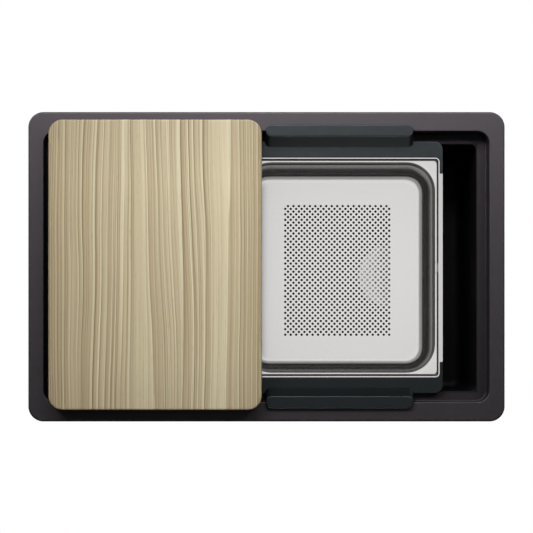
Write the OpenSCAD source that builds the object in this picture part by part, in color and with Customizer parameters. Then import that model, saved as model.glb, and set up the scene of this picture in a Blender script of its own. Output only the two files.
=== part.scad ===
// Inset workstation kitchen sink: one large granite-composite bowl with an inner ledge,
// a wooden board across the rim, and a sliding frame that carries a perforated pan.
// Origin: centre of the worktop cut-out, on the worktop's surface. +X right, +Y back, +Z up.

/* [Sink] */
// Overall width of the rim, left to right
sink_w = 785; // [760:1:820]
// Overall depth of the rim, front to back
sink_d = 510; // [500:1:520]
// Height of the rim above the worktop
rim_h = 8; // [6:0.5:10]
// Outer corner radius of the rim
rim_r = 25; // [20:1:30]
// Width of the opening at the top of the rim
open_w = 734; // [730:1:740]
// Depth of the opening at the top of the rim
open_d = 446; // [444:1:448]
// How far the inner ledge lies below the rim
ledge_drop = 27; // [26:0.5:30]
// Width of the bowl inside the ledge
bowl_w = 697; // [690:1:700]
// Depth of the bowl inside the ledge
bowl_d = 410; // [406:1:412]
// Depth of the bowl below the rim
bowl_h = 200; // [180:1:220]
// Wall thickness of the bowl
wall = 8; // [7:0.5:9]
// Thickness of the bowl's floor
floor_t = 10; // [9:0.5:12]

/* [Drain] */
// Position of the drain to the right of the centre
drain_x = 219.5; // [200:0.5:230]
// Radius of the steel drain flange
flange_r = 56.5; // [55:0.5:57]
// Radius of the drain's throat
throat_r = 39.5; // [39:0.25:40]
// Outer radius of the waste outlet, over its thread
outlet_r = 23.9; // [23:0.1:24.5]
// Radius of the cap in the middle of the strainer
cap_r = 28.3; // [26:0.1:30]
// Radius of the hose between overflow and waste
hose_r = 13; // [13:0.5:14]

/* [Accessory frame] */
// Position of the frame to the right of the centre
frame_x = 120; // [110:1:130]
// Width of the frame over its steel flange
frame_w = 344.8; // [340:0.2:348]
// Depth of the frame over both rails
frame_d = 417.4; // [416:0.2:418]
// Length of each handle
handle_l = 244; // [230:1:250]
// Height of the handles above the rim
handle_h = 7; // [5:0.5:9]

/* [Pan] */
// Width of the pan over its rim
pan_w = 325; // [322:1:326]
// Length of the pan over its rim
pan_d = 354; // [350:1:355]
// Depth of the pan
pan_h = 65; // [40:1:65]
// Radius of each drain hole in the pan
hole_r = 1.6; // [1.2:0.1:1.8]
// Half of the spacing of the drain holes
hole_p = 4.64; // [4.5:0.02:4.8]

/* [Board] */
// Width of the board, left to right
board_w = 348.2; // [300:0.2:352]
// Length of the board, front to back
board_d = 474; // [460:1:490]
// Thickness of the board above the rim
board_t = 27; // [20:1:34]
// Position of the board's middle, left of the centre
board_x = -181.8; // [-190:0.2:-181.6]
// Position of the board's middle, back from the centre
board_y = 1.1; // [0:0.1:1.2]

/* [Hidden] */
$fn = 48;
T = rim_h;                    // top of the rim
L = T - ledge_drop;           // top of the ledge
F = T - bowl_h;               // top of the bowl's floor
U = F - floor_t;              // underside of the floor
P = T - 17;                   // top of the pan's rim
ox = open_w / 2; oy = open_d / 2;
bx = bowl_w / 2; by = bowl_d / 2;
granite = "#4a464a"; steel = "#c4c6c8"; slate = "#363c40"; rubber = "#1d1e20";
white_pp = "#d9dad6"; dark_pp = "#3a3d40"; ash = "#cdbd92"; brass_c = "#b7954a"; nylon = "#e6e4da";

// ---------- shared shapes ----------

// points of a rectangle with rounded corners, n steps to a corner
function ring(hx, hy, r, n) = [for (c = [0:3]) for (k = [0:n])
  let (a = 90 * c + 90 * k / n,
       sx = (c == 0 || c == 3) ? 1 : -1, sy = (c < 2) ? 1 : -1)
  [sx * (hx - r) + r * cos(a), sy * (hy - r) + r * sin(a)]];

// a skin through rings [hx, hy, r, z]; closed by a cap at each end, or joined end to start
module skin(rings, n, loop = false) {
  m = 4 * (n + 1); c = len(rings);
  pts = [for (q = rings) for (p = ring(q[0], q[1], q[2], n)) [p[0], p[1], q[3]]];
  last = loop ? c - 1 : c - 2;
  sides = [for (i = [0:last]) for (k = [0:m - 1])
    let (i2 = (i + 1) % c, k2 = (k + 1) % m)
    each [[i * m + k, i2 * m + k, i2 * m + k2], [i * m + k, i2 * m + k2, i * m + k2]]];
  caps = loop ? [] : [[for (k = [0:m - 1]) k], [for (k = [m - 1:-1:0]) (c - 1) * m + k]];
  polyhedron(points = pts, faces = concat(sides, caps), convexity = 10);
}

// flat rectangle with true round corners, centred
module rrect(hx, hy, r) {
  square([2 * hx, 2 * (hy - r)], center = true);
  square([2 * (hx - r), 2 * hy], center = true);
  for (sx = [-1, 1]) for (sy = [-1, 1]) translate([sx * (hx - r), sy * (hy - r)]) circle(r);
}

module rslab(hx, hy, r, z0, z1) { translate([0, 0, z0]) linear_extrude(z1 - z0) rrect(hx, hy, r); }

module rframe(ho, ro, hi, ri, z0, z1) {
  translate([0, 0, z0]) linear_extrude(z1 - z0)
    difference() { rrect(ho[0], ho[1], ro); rrect(hi[0], hi[1], ri); }
}

module tube(ro, ri, z0, z1) {
  translate([0, 0, z0]) difference() {
    cylinder(r = ro, h = z1 - z0);
    translate([0, 0, -1]) cylinder(r = ri, h = z1 - z0 + 2);
  }
}

// ---------- sink bowl and what clamps it to the worktop ----------

bead = [sink_w / 2 - 8.5, sink_w / 2 - 2.5]; // inner and outer edge of the seal's groove
ex = sink_w / 2; ey = sink_d / 2;

// The casting is built of three pieces that meet on plain faces: rim with ledge, walls, and floor.
joint_z = L - 10; // underside of the ledge, where the walls begin
joint_t = 8.8 / (L - 1.2 - F - 16);
joint_in = [bx - 4 * joint_t, by - 4 * joint_t, 10 + 8 * joint_t, joint_z]; // inside of the wall there
floor_low = [bx - 19, by - 19, 4, U];
floor_top = [bx - 20, by - 20, 3, F];

rim_rings = [
  // under the ledge, up beside the cut-out, and under the rim with the seal's groove
  [bx + wall, by + wall, 18, joint_z], [ox + 7.6, oy + 7.6, 27.6, joint_z],
  [ox + 8.5, oy + 8.5, 28.5, L - 8], [ox + 8.5, oy + 8.5, 28.5, 0],
  [ex - 8.5, ey - 8.5, rim_r - 8.5, 0], [ex - 8.5, ey - 8.5, rim_r - 8.5, 2],
  [ex - 2.5, ey - 2.5, rim_r - 2.5, 2], [ex - 2.5, ey - 2.5, rim_r - 2.5, 0],
  [ex - 0.7, ey - 0.7, rim_r - 0.7, 0], [ex, ey, rim_r, 0.8],
  // outer edge of the rim, its flat top and the rounded inner edge
  [ex, ey, rim_r, T - 3], [ex - 0.6, ey - 0.6, rim_r - 0.6, T - 1.5],
  [ex - 1.6, ey - 1.6, rim_r - 1.6, T - 0.5], [ex - 3, ey - 3, rim_r - 3, T],
  [ox + 1.5, oy + 1.5, 21.5, T], [ox + 0.3, oy + 0.3, 20.3, T - 0.5], [ox, oy, 20, T - 1.5],
  // down to the ledge and across it to the bowl
  [ox - 0.8, oy - 0.8, 19.2, L + 1.5], [ox - 2, oy - 2, 18, L],
  [bx + 1.2, by + 1.2, 11.2, L], [bx, by, 10, L - 1.2], joint_in
];

wall_rings = [
  // outside, from the underside of the floor up to the ledge
  floor_low, [bx - 9, by - 9, 12, U + 2.6], [bx + 0.6, by + 0.6, 20, U + 12],
  [bx + wall - 4, by + wall - 4, 24, F + 16], [bx + wall, by + wall, 18, joint_z],
  // inside, down to the foot and onto the floor
  joint_in, [bx - 4, by - 4, 18, F + 16], [bx - 6.1, by - 6.1, 16, F + 8], [bx - 12, by - 12, 10.5, F + 2.1],
  floor_top
];

// each clip's place, direction and reach
clip_at = [for (x = [-290, -97, 97, 290]) for (s = [-1, 1]) [x, s * (oy - 1), s * 90, 29.5],
           [ox - 1, 0, 0, 25.5], [-(ox - 1), 0, 180, 25.5]];

module at_clips() { for (c = clip_at) translate([c[0], c[1], 0]) rotate([0, 0, c[2]]) { $reach = c[3]; children(); } }

overflow_z = T - 64;
pad_y = by + 9; // flat pad behind the back wall

module rim() {
  color(granite) difference() {
    union() {
      skin(rim_rings, 6, true);
      // cast sockets for the clips
      at_clips() translate([0, 0, L - 28]) cylinder(r = 8.5, h = 19);
    }
    at_clips() translate([0, 0, L - 30]) cylinder(r = 4.1, h = 19);
  }
}

module bowl() { // the walls
  color(granite) difference() {
    union() {
      skin(wall_rings, 6, true);
      // flat pad that the overflow seals on
      translate([drain_x, by + 3, overflow_z]) rotate([-90, 0, 0]) cylinder(r = 27, h = pad_y - by - 3);
    }
    translate([drain_x, by - 20, overflow_z]) rotate([-90, 0, 0]) cylinder(r = 17, h = 50);
  }
}

module bowl_floor() {
  color(granite) difference() {
    skin([floor_low, floor_top], 6);
    // seat and hole of the drain
    translate([drain_x, 0, F - 2.5]) cylinder(r = flange_r + 1.5, h = 10);
    translate([drain_x, 0, U - 5]) cylinder(r = 45.5, h = 30);
  }
}

module rim_seal() {
  color(rubber) rframe([ex - 2.8, ey - 2.8], rim_r - 2.8, [ex - 8.4, ey - 8.4], rim_r - 8.4, 0, 1.95);
}

module clip_plugs() {
  color(nylon) at_clips() difference() {
    union() {
      translate([0, 0, L - 28]) cylinder(r = 4, h = 16);
      translate([0, 0, L - 29.2]) cylinder(r = 6.5, h = 1.2);
    }
    translate([0, 0, L - 32]) cylinder(r = 1.9, h = 16);
  }
}

module clip_arms() {
  z = L - 31.4;
  color(steel) at_clips() difference() {
    union() {
      translate([-8, -9, z]) cube([$reach + 3, 18, 2]);
      translate([$reach - 7, -9, z]) cube([2, 18, 12.4]);
      translate([$reach - 7, -9, z + 10.4]) cube([7, 18, 2]);
      translate([-8, -9, z - 6]) cube([2, 18, 8]);
    }
    translate([0, 0, z - 1]) cylinder(r = 2.3, h = 4);
  }
}

module clip_screws() {
  z = L - 31.4;
  color(steel) at_clips() difference() {
    union() {
      translate([0, 0, z - 2.6]) cylinder(r = 4, h = 2.6);
      translate([0, 0, z - 1]) cylinder(r = 1.8, h = 16);
    }
    for (a = [0, 90]) rotate([0, 0, a]) translate([-2.2, -0.45, z - 3]) cube([4.4, 0.9, 1.8]);
  }
}

// ---------- waste ----------

seat = F - 12; // step in the throat that the strainer closes on
cup = F - 28.5; // inside of the flange cup's floor

module waste_flange() {
  color(steel) translate([drain_x, 0, 0]) difference() {
    rotate_extrude() polygon([
      [0, cup], [0, cup - 1.5], [38, cup - 1.5], [38, seat - 1.5], [41, seat - 1.5], [41, F - 1.5],
      [flange_r, F - 1.5], [flange_r, F - 0.6], [flange_r - 0.8, F], [throat_r + 1.2, F],
      [throat_r, F - 1.2], [throat_r, seat], [36.5, seat], [36.5, cup]]);
    translate([0, 0, cup - 2]) cylinder(r = 4.3, h = 3);
    for (i = [0:7]) rotate([0, 0, 45 * i]) translate([23.5, 0, cup - 2]) cylinder(r = 6.5, h = 3);
  }
}

module waste_top_seal() { color(rubber) translate([drain_x, 0, 0]) tube(flange_r, 46.5, F - 2.5, F - 1.5); }

module waste_under_seal() { color(rubber) translate([drain_x, 0, 0]) tube(57, 46.5, U - 3, U); }

port_z = U - 20; // side inlet for the overflow's hose
hub_z = U - 22;

module waste_body() {
  color(white_pp) translate([drain_x, 0, 0]) difference() {
    union() {
      tube(58, 43.5, U - 8, U - 3);
      tube(48, 45, U - 40, U - 5);
      tube(48, outlet_r - 3.4, U - 43, U - 40);
      tube(outlet_r, outlet_r - 3.4, U - 75, U - 40);
      translate([0, 0, U - 43]) cylinder(r = 8, h = hub_z - U + 43);
      for (a = [90, 210, 330]) rotate([0, 0, a]) translate([6, -2, U - 43]) cube([41, 4, 12]);
      translate([0, 46, port_z]) rotate([-90, 0, 0]) cylinder(r = hose_r - 1.25, h = 30);
      // stop ring of the hose
      translate([0, 46, port_z]) rotate([-90, 0, 0]) cylinder(r = hose_r + 1, h = 8);
    }
    translate([0, 0, hub_z - 16.5]) cylinder(r = 5.5, h = 20);
    translate([0, 40, port_z]) rotate([-90, 0, 0]) cylinder(r = hose_r - 3, h = 40);
  }
}

module waste_insert() {
  color(brass_c) translate([drain_x, 0, 0]) tube(5.45, 3.6, hub_z - 16, hub_z);
}

module waste_screw() {
  color(steel) translate([drain_x, 0, 0]) difference() {
    union() {
      translate([0, 0, cup]) cylinder(r = 7.5, h = 4);
      translate([0, 0, hub_z - 14]) cylinder(r = 3.5, h = cup - hub_z + 15);
    }
    translate([-5.5, -0.8, cup + 2.4]) cube([11, 1.6, 3]);
  }
}

// ---------- overflow ----------

cover_y = by - 8; // front of the cover
module overflow_cover() {
  color(steel) translate([drain_x, 0, overflow_z]) difference() {
    translate([0, cover_y, 0]) rotate([-90, 0, 0]) linear_extrude(6.2) rrect(42, 14, 4);
    translate([0, cover_y + 1.5, 2]) rotate([-90, 0, 0]) linear_extrude(8) rrect(40.5, 14.5, 2.5);
    translate([0, cover_y - 1, 0]) rotate([-90, 0, 0]) cylinder(r = 2.7, h = 8);
  }
}

module overflow_screw() {
  color(steel) translate([drain_x, 0, overflow_z]) difference() {
    union() {
      translate([0, cover_y - 2.2, 0]) rotate([-90, 0, 0]) cylinder(r = 5, h = 2.2);
      translate([0, cover_y - 1, 0]) rotate([-90, 0, 0]) cylinder(r = 2.4, h = 33);
    }
    for (a = [0, 90]) rotate([0, a, 0]) translate([-2.6, cover_y - 3, -0.5]) cube([5.2, 2.2, 1]);
  }
}

module overflow_seal() {
  color(rubber) translate([drain_x, pad_y, overflow_z]) rotate([-90, 0, 0]) tube(25, 17.5, 0, 2);
}

nozzle_y = pad_y + 14;
module overflow_elbow() {
  color(dark_pp) translate([drain_x, pad_y, overflow_z]) difference() {
    union() {
      rotate([-90, 0, 0]) translate([0, 0, 2]) cylinder(r = 25, h = 3);
      rotate([-90, 0, 0]) translate([0, 0, 2]) cylinder(r = 20, h = 25);
      translate([0, 14, -42]) cylinder(r = hose_r - 1.25, h = 30);
    }
    difference() {
      rotate([-90, 0, 0]) cylinder(r = 17, h = 24);
      rotate([-90, 0, 0]) translate([0, 0, 3]) cylinder(r = 4.5, h = 30);
    }
    rotate([-90, 0, 0]) cylinder(r = 2.5, h = 20);
    translate([0, 14, -45]) difference() {
      cylinder(r = hose_r - 3, h = 45);
      translate([-5, -12, 40]) cube([10, 24, 10]);
    }
  }
}

bend_r = 40;
hose_top = overflow_z - 26;
module hose_ring() { difference() { circle(hose_r); circle(hose_r - 0.95); } }
module overflow_hose() {
  color(dark_pp) translate([drain_x, 0, 0]) {
    translate([0, nozzle_y, port_z + bend_r]) linear_extrude(hose_top - port_z - bend_r) hose_ring();
    translate([0, nozzle_y - bend_r, port_z + bend_r]) rotate([0, 90, 0]) rotate_extrude(angle = 90)
      translate([bend_r, 0]) hose_ring();
    translate([0, 58.8, port_z]) rotate([-90, 0, 0]) linear_extrude(nozzle_y - bend_r - 58.8) hose_ring();
  }
}

module hose_clips() {
  color(steel) translate([drain_x, 0, 0]) {
    translate([0, nozzle_y, 0]) tube(hose_r + 1, hose_r + 0.05, hose_top - 13, hose_top - 4);
    translate([0, 60, port_z]) rotate([-90, 0, 0]) tube(hose_r + 1, hose_r + 0.05, 0, 9);
  }
}

// ---------- strainer that lifts out of the drain ----------

module strainer_basket() {
  color(steel) translate([drain_x, 0, 0]) difference() {
    rotate_extrude() polygon([
      [0, F - 23], [0, F - 24], [34.6, F - 24], [35.5, F - 23.1], [35.5, F - 10.4], [38.9, F - 10.4],
      [38.9, F - 9.4], [34.6, F - 9.4], [34.6, F - 22.6], [34.2, F - 23]]);
    translate([0, 0, F - 25]) cylinder(r = 3.1, h = 3);
    for (i = [0:23]) rotate([0, 0, 15 * i]) translate([29.5, 0, F - 25]) cylinder(r = 2.1, h = 3);
    for (i = [0:15]) rotate([0, 0, 22.5 * i]) translate([21.5, 0, F - 25]) cylinder(r = 2.1, h = 3);
    for (i = [0:7]) rotate([0, 0, 45 * i]) translate([13, 0, F - 25]) cylinder(r = 2.1, h = 3);
  }
}

module strainer_seal() { color(rubber) translate([drain_x, 0, 0]) tube(39.1, 35.6, seat, F - 10.4); }

module strainer_stem() {
  color(steel) translate([drain_x, 0, 0]) {
    translate([0, 0, F - 24.4]) cylinder(r = 3, h = 22.6);
    translate([0, 0, F - 23]) cylinder(r = 5, h = 20);
  }
}

module strainer_cap() {
  color(steel) translate([drain_x, 0, 0]) difference() {
    rotate_extrude() polygon([
      [0, F - 1.6], [0, F - 3], [cap_r - 2.2, F - 3], [cap_r, F - 4.4], [cap_r, F - 2.6], [cap_r - 1, F - 1.6],
      [cap_r - 2, F - 1.4], [17, F - 1.4], [15.6, F + 2], [13, F + 3.2], [0, F + 3.2], [0, F + 2],
      [12.6, F + 2], [14.4, F + 1], [15.8, F - 2.2], [0, F - 2.2]]);
    translate([0, 0, F - 5]) cylinder(r = 3.05, h = 5.6);
  }
}

// ---------- sliding frame ----------

fw = frame_w / 2; fd = frame_d / 2;
lip = [fw - 5.5, fd - 26.7]; // outside of the upright lip
steel_t = 1.5;
wrap_y = 156.5; // how far the rails wrap round the corners

module frame_ring() {
  color(steel) translate([frame_x, 0, 0]) difference() {
    union() {
      // upright lip, and the ledge that carries the pan
      rframe([lip[0], lip[1]], 7, [lip[0] - steel_t, lip[1] - steel_t], 5.5, T - 25, T - 16.2);
      rframe([lip[0], lip[1]], 7, [160.3, 174.8], 48.5, T - 25, T - 23.5);
      // outer flange: wide under the rails, narrow along the sides
      rframe([fw - 1.9, fd - 4.7], 9, [lip[0] - 0.5, lip[1] - 0.5], 6.5, T - 22.5, T - 21);
      for (s = [-1, 1]) translate([s * (fw - 2) - 2, 0.3 - wrap_y, T - 22.5]) cube([4, 2 * wrap_y - 0.6, steel_t]);
      // small centring tabs beside the pan
      for (s = [-1, 1]) translate([s * (lip[0] - 1.5) - 1.5, -7.2, T - 24]) cube([3, 14.4, 6]);
    }
    for (x = [-150, -50, 50, 150]) for (s = [-1, 1]) translate([x, s * 193, T - 24]) cylinder(r = 2.2, h = 4);
  }
}

// cross-section of a rail: Y outwards, Z up from the rim
module rail_section() {
  polygon([[lip[1] + 0.2, T - 21], [fd - 4.4, T - 21], [fd - 4.4, L + 0.05], [fd - 0.6, L + 0.05], [fd, L + 0.8],
           [fd, T - 17], [fd - 1, T - 16], [lip[1] + 0.2, T - 16]]);
}
module handle_section() {
  polygon([[199.2, T - 17], [199.2, T - 16], [213.2, T + handle_h - 0.8], [214.4, T + handle_h], [232, T + handle_h],
           [233.3, T + handle_h - 1.2], [233.3, T + 1], [232.6, T + 0.1], [221.4, T + 0.1], [221.4, T - 8],
           [fd - 1, T - 17]]);
}

module rail() { // the back one; the front one is its mirror image
  difference() {
    union() {
      intersection() {
        rslab(fw, fd, 12, L - 2, T);
        union() {
          translate([-fw - 1, 0, 0]) rotate([90, 0, 90]) linear_extrude(2 * fw + 2) rail_section();
          // arms that wrap round the corners of the steel flange
          for (s = [-1, 1]) {
            translate([s * (fw - 2.6) - 2.6, wrap_y, T - 21]) cube([5.2, fd - wrap_y - 2, 5]);
            translate([s * (fw - 0.8) - 0.8, wrap_y, T - 22.5]) cube([1.6, fd - wrap_y - 2, 6.5]);
          }
        }
      }
      translate([0.7, 0, 0]) intersection() {
        translate([-handle_l / 2, 0, 0]) rotate([90, 0, 90]) linear_extrude(handle_l) handle_section();
        translate([0, 216.25, 0]) rslab(handle_l / 2, 17.05, 8, T - 20, T + 10);
      }
    }
    // room for the steel lip and its corner
    rslab(lip[0] + 0.2, lip[1] + 0.2, 7.2, T - 30, T);
    for (x = [-150, -50, 50, 150]) translate([x, 193, T - 22]) cylinder(r = 1.95, h = 4.2);
  }
}

module back_rail() { color(slate) translate([frame_x, 0, 0]) rail(); }
module front_rail() { color(slate) translate([frame_x, 0, 0]) mirror([0, 1, 0]) rail(); }

module rail_screws() {
  color(steel) translate([frame_x, 0, 0])
    for (x = [-150, -50, 50, 150]) for (s = [-1, 1]) translate([x, s * 193, 0]) difference() {
      union() {
        translate([0, 0, T - 24.5]) cylinder(r = 3.8, h = 2);
        translate([0, 0, T - 23]) cylinder(r = 1.9, h = 4.8);
      }
      for (a = [0, 90]) rotate([0, 0, a]) translate([-2, -0.45, T - 25]) cube([4, 0.9, 1.7]);
    }
}

// ---------- perforated pan ----------

// offset o from the basin's edge, height z below the pan's rim, corner radius r
function pr(o, r, z) = [pan_w / 2 - 4 + o, pan_d / 2 - 3.5 + o, r, P + z];
pz = -pan_h + 1;
pan_rings = [
  // inside, from the flat floor up to the rim
  pr(-17.5, 24, pz), pr(-12.5, 29.5, pz + 1.2), pr(-9.3, 33.5, pz + 4.2), pr(-7.9, 36, pz + 8.8),
  pr(-3.2, 43, -8), pr(-2.8, 43.5, -5.4), pr(-1, 45.5, -1.5), pr(-0.2, 46.5, -0.4), pr(0.8, 47.5, 0),
  // rim and its turned-down edge
  [pan_w / 2 - 0.6, pan_d / 2 - 0.6, 5.4, P], [pan_w / 2, pan_d / 2, 6, P - 0.6],
  [pan_w / 2, pan_d / 2, 6, P - 6.45], [pan_w / 2 - 1, pan_d / 2 - 1, 5, P - 6.45],
  [pan_w / 2 - 1, pan_d / 2 - 1, 5, P - 1],
  // outside, back down to the floor
  pr(1, 47.7, -1), pr(0, 46.5, -1.9), pr(-1.8, 44.5, -6), pr(-2.2, 44, -8.4),
  pr(-6.9, 37, pz + 8.6), pr(-8.4, 34.4, pz + 3.6), pr(-12, 30, pz + 0.2), pr(-17.5, 24, pz - 1)
];

module pan() { color(steel) translate([frame_x, 0, 0]) skin([for (i = [len(pan_rings) - 1:-1:0]) pan_rings[i]], 8, true); }

module pan_floor() {
  color(steel) translate([frame_x, 0, P + pz - 1]) linear_extrude(1) difference() {
    polygon(ring(pan_w / 2 - 21.5, pan_d / 2 - 21, 24, 8));
    for (i = [0:47]) for (j = [0:38])
      if ((i + j) % 2 == 1) translate([(j - 19) * hole_p, (23.5 - i) * hole_p]) circle(hole_r, $fn = 24);
  }
}

// ---------- board ----------

module board() {
  color(ash) translate([board_x, 0, 0]) {
    translate([0, board_y, 0]) rslab(board_w / 2, board_d / 2, 23, T + 0.05, T + board_t);
    // lower step that drops into the opening
    rslab(board_w / 2 - 3, oy - 2.5, 12, T - 3, T + 1);
  }
}

rim();
bowl();
bowl_floor();
rim_seal();
clip_plugs();
clip_arms();
clip_screws();
waste_flange();
waste_top_seal();
waste_under_seal();
waste_body();
waste_insert();
waste_screw();
overflow_cover();
overflow_screw();
overflow_seal();
overflow_elbow();
overflow_hose();
hose_clips();
strainer_basket();
strainer_seal();
strainer_stem();
strainer_cap();
frame_ring();
back_rail();
front_rail();
rail_screws();
pan();
pan_floor();
board();
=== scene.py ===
import math

import bpy
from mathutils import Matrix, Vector, geometry


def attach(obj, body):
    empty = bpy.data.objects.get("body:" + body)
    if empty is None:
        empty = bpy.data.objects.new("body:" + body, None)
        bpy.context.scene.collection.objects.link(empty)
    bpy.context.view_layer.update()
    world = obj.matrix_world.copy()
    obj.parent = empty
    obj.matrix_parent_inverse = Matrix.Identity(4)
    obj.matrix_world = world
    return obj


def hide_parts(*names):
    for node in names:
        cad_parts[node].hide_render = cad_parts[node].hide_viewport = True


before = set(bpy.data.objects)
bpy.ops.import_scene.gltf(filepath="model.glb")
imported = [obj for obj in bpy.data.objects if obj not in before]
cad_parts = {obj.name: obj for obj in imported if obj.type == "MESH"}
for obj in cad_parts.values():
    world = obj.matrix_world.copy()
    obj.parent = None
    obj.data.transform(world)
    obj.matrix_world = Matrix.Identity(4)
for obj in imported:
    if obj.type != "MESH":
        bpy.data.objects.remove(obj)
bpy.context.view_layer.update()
scene = bpy.context.scene

# ---------------------------------------------------------------- sizes, in millimetres
T, L, F = 8.0, -19.0, -192.0  # rim top, ledge, bowl floor
U, P = -202.0, -9.0  # underside of the floor, rim of the pan
OX, OY = 367.0, 223.0  # half of the opening
BX, BY = 348.5, 205.0  # half of the bowl inside the ledge
EX, EY = 392.5, 255.0  # half of the rim
WALL = 8.0
DRAIN_X = 219.5
FRAME_X = 120.0
FW, FD = 172.4, 208.7  # half of the frame
LIP = (166.9, 182.0)
PAN_W, PAN_D, PZ = 162.5, 177.0, -64.0
HOLE_P, HOLE_R = 4.64, 2.06
OVERFLOW_Z = T - 64.0

# ---------------------------------------------------------------- mesh helpers


def ring(hx, hy, r, z, n, cx=0.0, cy=0.0):
    """Rounded rectangle, n steps to a corner, counter-clockwise seen from above."""
    out = []
    for c in range(4):
        sx = 1 if c in (0, 3) else -1
        sy = 1 if c < 2 else -1
        for k in range(n + 1):
            a = math.radians(90 * c + 90 * k / n)
            out.append((cx + sx * (hx - r) + r * math.cos(a), cy + sy * (hy - r) + r * math.sin(a), z))
    return out


def arc(a, b, c, n):
    """Rings on a smooth curve from a to c that bends round b; a itself is left out."""
    out = []
    for k in range(1, n + 1):
        t = k / n
        out.append(tuple((1 - t) ** 2 * p + 2 * t * (1 - t) * q + t * t * r for p, q, r in zip(a, b, c)))
    return out


def mesh_object(name, verts, faces, scale=0.001):
    me = bpy.data.meshes.new(name)
    me.from_pydata([tuple(c * scale for c in v) for v in verts], [], faces)
    me.validate()
    me.update()
    ob = bpy.data.objects.new(name, me)
    scene.collection.objects.link(ob)
    return ob


def loft(rings, n, closed=False, caps=True):
    """Skin through (hx, hy, r, z[, cx, cy]) rings, from first to last."""
    verts, faces = [], []
    m = 4 * (n + 1)
    for q in rings:
        cx, cy = (q[4], q[5]) if len(q) > 4 else (0.0, 0.0)
        verts += ring(q[0], q[1], q[2], q[3], n, cx, cy)
    count = len(rings)
    for i in range(count if closed else count - 1):
        j = (i + 1) % count
        for k in range(m):
            k2 = (k + 1) % m
            faces.append((i * m + k, i * m + k2, j * m + k2, j * m + k))
    if not closed and caps:
        faces.append(tuple(reversed(range(m))))
        faces.append(tuple((count - 1) * m + k for k in range(m)))
    return verts, faces


def lathe(profile, n, x=0.0, y=0.0, closed=True):
    """Turns an (r, z) outline round the vertical axis at (x, y)."""
    verts, faces, index = [], [], []
    for r, z in profile:
        if r < 1e-6:
            index.append([len(verts)] * n)
            verts.append((x, y, z))
        else:
            start = len(verts)
            for k in range(n):
                a = 2 * math.pi * k / n
                verts.append((x + r * math.cos(a), y + r * math.sin(a), z))
            index.append([start + k for k in range(n)])
    count = len(profile)
    for i in range(count if closed else count - 1):
        j = (i + 1) % count
        for k in range(n):
            k2 = (k + 1) % n
            f = []
            for v in (index[i][k], index[i][k2], index[j][k2], index[j][k]):
                if v not in f:
                    f.append(v)
            if len(f) > 2:
                faces.append(tuple(f))
    return verts, faces


def outward(ob):
    """Turns all faces of a closed mesh outwards."""
    import bmesh

    bm = bmesh.new()
    bm.from_mesh(ob.data)
    bmesh.ops.recalc_face_normals(bm, faces=bm.faces)
    bm.to_mesh(ob.data)
    bm.free()
    return ob


def apply_modifiers(ob):
    dg = bpy.context.evaluated_depsgraph_get()
    me = bpy.data.meshes.new_from_object(ob.evaluated_get(dg), preserve_all_data_layers=True, depsgraph=dg)
    ob.modifiers.clear()
    old = ob.data
    ob.data = me
    me.name = old.name
    bpy.data.meshes.remove(old)
    return ob


def cylinder(r, z0, z1, x, y, n=64, name="tool"):
    """A closed upright cylinder, used as a cutter or a boss."""
    verts, faces = lathe([(r, z0), (r, z1)], n, x, y, closed=False)
    faces.append(tuple(reversed(range(n))))
    faces.append(tuple(range(n, 2 * n)))
    return outward(mesh_object(name, verts, faces))


def lying_cylinder(r, y0, y1, x, z, n=64, name="tool"):
    verts, faces = [], []
    for y in (y0, y1):
        for k in range(n):
            a = 2 * math.pi * k / n
            verts.append((x + r * math.cos(a), y, z + r * math.sin(a)))
    for k in range(n):
        k2 = (k + 1) % n
        faces.append((k, k2, n + k2, n + k))
    faces += [tuple(reversed(range(n))), tuple(range(n, 2 * n))]
    return outward(mesh_object(name, verts, faces))


def block(x0, x1, y0, y1, z0, z1, name="tool"):
    v = [(x, y, z) for z in (z0, z1) for y in (y0, y1) for x in (x0, x1)]
    f = [(0, 2, 3, 1), (4, 5, 7, 6), (0, 1, 5, 4), (2, 6, 7, 3), (0, 4, 6, 2), (1, 3, 7, 5)]
    return outward(mesh_object(name, v, f))


def boolean(ob, tools, kind):
    for t in tools:
        m = ob.modifiers.new("b", "BOOLEAN")
        m.operation = kind
        m.solver = "EXACT"
        m.object = t
        apply_modifiers(ob)
        old = t.data
        bpy.data.objects.remove(t)
        bpy.data.meshes.remove(old)
    return ob


def bevel(ob, width, segments=3, angle=35.0):
    m = ob.modifiers.new("v", "BEVEL")
    m.width = width * 0.001
    m.segments = segments
    m.limit_method = "ANGLE"
    m.angle_limit = math.radians(angle)
    m.use_clamp_overlap = True
    m.harden_normals = False
    return apply_modifiers(ob)


def smooth(ob, angle=32.0):
    """Smooth shading with sharp edges kept, and large flat faces kept flat."""
    me = ob.data
    me.shade_smooth()
    me.set_sharp_from_angle(angle=math.radians(angle))
    m = ob.modifiers.new("w", "WEIGHTED_NORMAL")
    m.mode = "FACE_AREA"
    m.weight = 80
    m.keep_sharp = True
    return apply_modifiers(ob)


def piece(ob, body, slot, material, *nodes):
    ob.data.materials.clear()
    ob.data.materials.append(material)
    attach(ob, body)
    if nodes:
        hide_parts(*nodes)
    return ob


# ---------------------------------------------------------------- materials


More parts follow.
